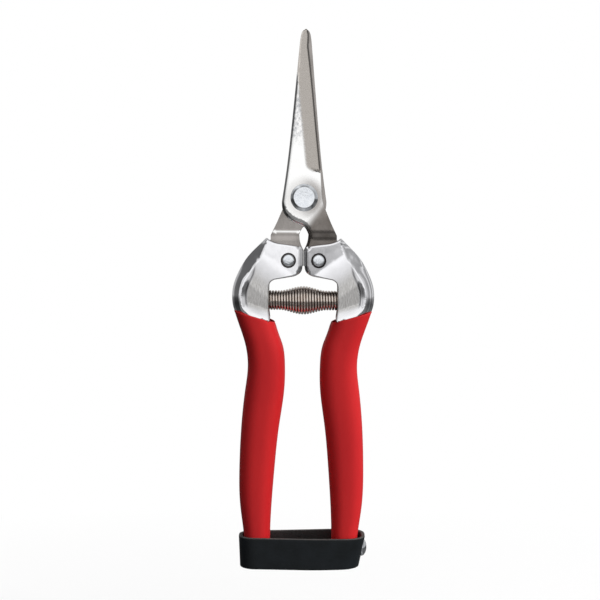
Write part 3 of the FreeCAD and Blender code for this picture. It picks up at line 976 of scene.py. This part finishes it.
def make_strap_rivet():
    """A dome on the leather, a shank through handle and grip, and a peened end on the washer inside."""
    low, high, centre = node_on_axis("strap_rivet", 0)
    radius = (high[2] - low[2]) / 2
    seat, peen = 21.9, STRAP_SHANK * 1.6
    inside_end = cad_box("strap_washer")[0][0]
    dome_foot = (seat - 0.2, radius)
    profile = [(low[0], 0), (low[0] + 0.05, STRAP_SHANK), (inside_end - 0.3, peen), (inside_end, peen),
               (inside_end, STRAP_SHANK), (seat - 0.4, STRAP_SHANK), (seat - 0.4, radius - 0.1), dome_foot,
               *quarter_round(dome_foot, (high[0], 0.0), False, 12)]
    return shade(lathe("strap_rivet_dome", profile, centre, (1, 0, 0), 72), 40)


# ---------------------------------------------------------------- assembly

def finish_piece(obj, mat, body, node_name):
    """Gives a piece its material and, when one is named, its body, and hides the node that it stands for.
    """
    obj.data.materials.clear()
    obj.data.materials.append(mat)
    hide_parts(node_name)
    if body:
        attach(obj, body)
    return obj


def finish_pair(right, left_name, mat, right_node, left_node):
    """Finishes a piece of the right half, and its twin on the left half."""
    left = half_turn(right, left_name)
    finish_piece(right, mat, "right_half", right_node)
    finish_piece(left, mat, "left_half", left_node)


def build_tool():
    low, high = cad_box("right_tang_rivet")
    rivet = ((low[0] + high[0]) / 2, (low[2] + high[2]) / 2, (high[0] - low[0]) / 2)
    rivet_mat = rivet_steel()
    finish_pair(make_blade(rivet), "rear_blade_steel", blade_steel(), "front_blade", "rear_blade")
    finish_pair(make_handle(rivet), "left_handle_steel", plated_steel(), "right_handle", "left_handle")
    finish_pair(make_grip(), "left_grip_vinyl", vinyl(), "right_grip", "left_grip")
    finish_pair(make_tang_rivet(), "left_tang_rivet_steel", rivet_mat, "right_tang_rivet",
                "left_tang_rivet")
    finish_piece(make_pivot_rivet(), rivet_mat, "right_half", "pivot_rivet")
    outer = make_washer("pivot_washer_steel", "pivot_washer", (0, 1, 0), PIVOT_SHANK)
    finish_piece(outer, rivet_mat, "right_half", "pivot_washer")
    finish_piece(make_strap_rivet(), rivet_mat, "right_half", "strap_rivet")
    inner = make_washer("strap_washer_steel", "strap_washer", (1, 0, 0), STRAP_SHANK)
    finish_piece(inner, rivet_mat, "right_half", "strap_washer")
    spring = finish_piece(make_spring(), spring_steel(), None, "spring")
    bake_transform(spring)
    strap = finish_piece(make_strap(), leather(), None, "strap")
    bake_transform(strap)


# ---------------------------------------------------------------- studio, in metres

FLOOR_Z = -0.042                    # low enough for the strap to hang down free when it is swung off


def area_light(name, place, target, size, power):
    data = bpy.data.lights.new(name, "AREA")
    data.shape = "RECTANGLE"
    data.size, data.size_y = size
    data.energy = power
    light = bpy.data.objects.new(name, data)
    light.location = place
    light.rotation_euler = (Vector(target) - Vector(place)).to_track_quat("-Z", "Y").to_euler()
    light.visible_glossy = False
    bpy.context.scene.collection.objects.link(light)


def build_floor():
    """A pale floor that curves up into a wall all round, and that reflections don't show."""
    flat, curve, top = 0.9, 0.7, 2.6
    profile = [(0, 0), (0, 0.2), (0, 0.5), (0, flat)]
    for k in range(1, 13):
        a = k / 12 * math.pi / 2
        profile.append((curve * (1 - math.cos(a)), flat + curve * math.sin(a)))
    profile.append((top, flat + curve))
    floor = lathe("studio_floor", [(z / MM, r / MM) for z, r in profile], np.zeros(3), (0, 0, 1), 96)
    floor.location.z = FLOOR_Z
    floor.data.shade_smooth()
    floor.data.materials.append(floor_paint())
    floor.visible_glossy = False
    floor.visible_diffuse = False
    floor.visible_shadow = False


def compass_light(tree, direction, round_stops, up_stops):
    """A grey level by where a direction points: degrees to the right of the front, and upwards."""
    split = node(tree, "ShaderNodeSeparateXYZ")
    tree.links.new(direction, split.inputs[0])
    towards_front = arithmetic(tree, "MULTIPLY", split.outputs["Y"], -1.0)
    azimuth = arithmetic(tree, "ARCTAN2", split.outputs["X"], towards_front)
    turn = arithmetic(tree, "MULTIPLY_ADD", azimuth, 0.5 / math.pi, 0.5)
    across = ramp(tree, turn, [(0.5 + degrees / 360, level) for degrees, level in round_stops])
    height = arithmetic(tree, "MULTIPLY_ADD", split.outputs["Z"], 0.5, 0.5)
    up = ramp(tree, height, [((place + 1) / 2, level) for place, level in up_stops])
    return blend_colours(tree, 1.0, across, up, "MULTIPLY")


def build_world():
    """Soft light for everything that is not polished, stronger from the right."""
    world = bpy.data.worlds.new("studio")
    bpy.context.scene.world = world
    world.use_nodes = True
    tree = world.node_tree
    coords = node(tree, "ShaderNodeTexCoord")
    round_stops = [(-180, 0.25), (-90, 0.04), (-35, 0.14), (12, 0.78), (90, 1.0), (150, 0.6), (180, 0.25)]
    up_stops = [(-1.0, 0.15), (-0.1, 0.4), (0.0, 1.0), (1.0, 1.0)]
    light = compass_light(tree, coords.outputs["Generated"], round_stops, up_stops)
    background = tree.nodes["Background"]
    tree.links.new(light, background.inputs["Color"])
    background.inputs["Strength"].default_value = 1.1


def build_reflections():
    """A far dome that only polished surfaces see: white in front, darker to the left and below."""
    radius, bands = 30.0 / MM, 24
    profile = [(-radius * math.cos(k * math.pi / bands), radius * math.sin(k * math.pi / bands))
               for k in range(bands + 1)]
    dome = lathe("studio_dome", profile, np.zeros(3), (0, 1, 0), 48)
    mat, tree, shader = material("reflected studio")
    direction = node(tree, "ShaderNodeVectorMath", prop_operation="NORMALIZE")
    tree.links.new(object_place(tree), direction.inputs[0])
    round_stops = [(-180, 0.5), (-160, 0.45), (-134, 0.42), (-121, 0.13), (-64, 0.11), (-55, 0.42),
                   (-45, 0.95), (-34, 0.6), (-16, 0.85), (-4, 1.0), (6, 1.0), (14, 0.78), (30, 0.6),
                   (52, 0.6), (64, 0.4), (94, 0.3), (103, 0.8), (112, 0.35), (128, 0.3), (136, 0.9),
                   (146, 0.3), (160, 0.5), (180, 0.5)]
    up_stops = [(-1.0, 0.5), (-0.8, 0.42), (-0.67, 0.13), (-0.5, 0.3), (-0.36, 0.25), (-0.2, 0.15),
                (-0.1, 0.36), (-0.07, 1.0), (0.3, 0.9), (0.8, 1.0), (0.92, 0.3), (1.0, 0.15)]
    light = compass_light(tree, direction.outputs[0], round_stops, up_stops)
    glow = node(tree, "ShaderNodeEmission", Strength=1.08)
    tree.links.new(light, glow.inputs["Color"])
    tree.links.new(glow.outputs[0], tree.nodes["Material Output"].inputs["Surface"])
    tree.nodes.remove(shader)
    dome.data.materials.append(mat)
    dome.visible_camera = False
    dome.visible_diffuse = False
    dome.visible_shadow = False
    dome.visible_transmission = False


def build_camera():
    """In front of the tool, a little above its pivot, and looking slightly down."""
    distance, height, aside, target_height = 0.6, 0.15, -0.0011, 0.0954
    data = bpy.data.cameras.new("camera")
    camera = bpy.data.objects.new("camera", data)
    camera.location = (aside, -distance, height)
    look = (Vector((aside, 0.0, target_height)) - camera.location).to_track_quat("-Z", "Y")
    roll = Matrix.Rotation(math.radians(0.6), 4, "Z")
    camera.rotation_euler = (look.to_matrix().to_4x4() @ roll).to_euler()
    data.lens = 102.6
    bpy.context.scene.collection.objects.link(camera)
    bpy.context.scene.camera = camera


build_tool()
build_floor()
build_world()
build_reflections()
area_light("key", (0.85, -0.45, 0.3), (0, 0, 0.1), (0.4, 0.6), 6.0)
area_light("top", (0.0, 0.15, 1.2), (0, 0.15, 0), (1.6, 0.9), 9)
build_camera()
bpy.context.scene.view_settings.view_transform = "Standard"
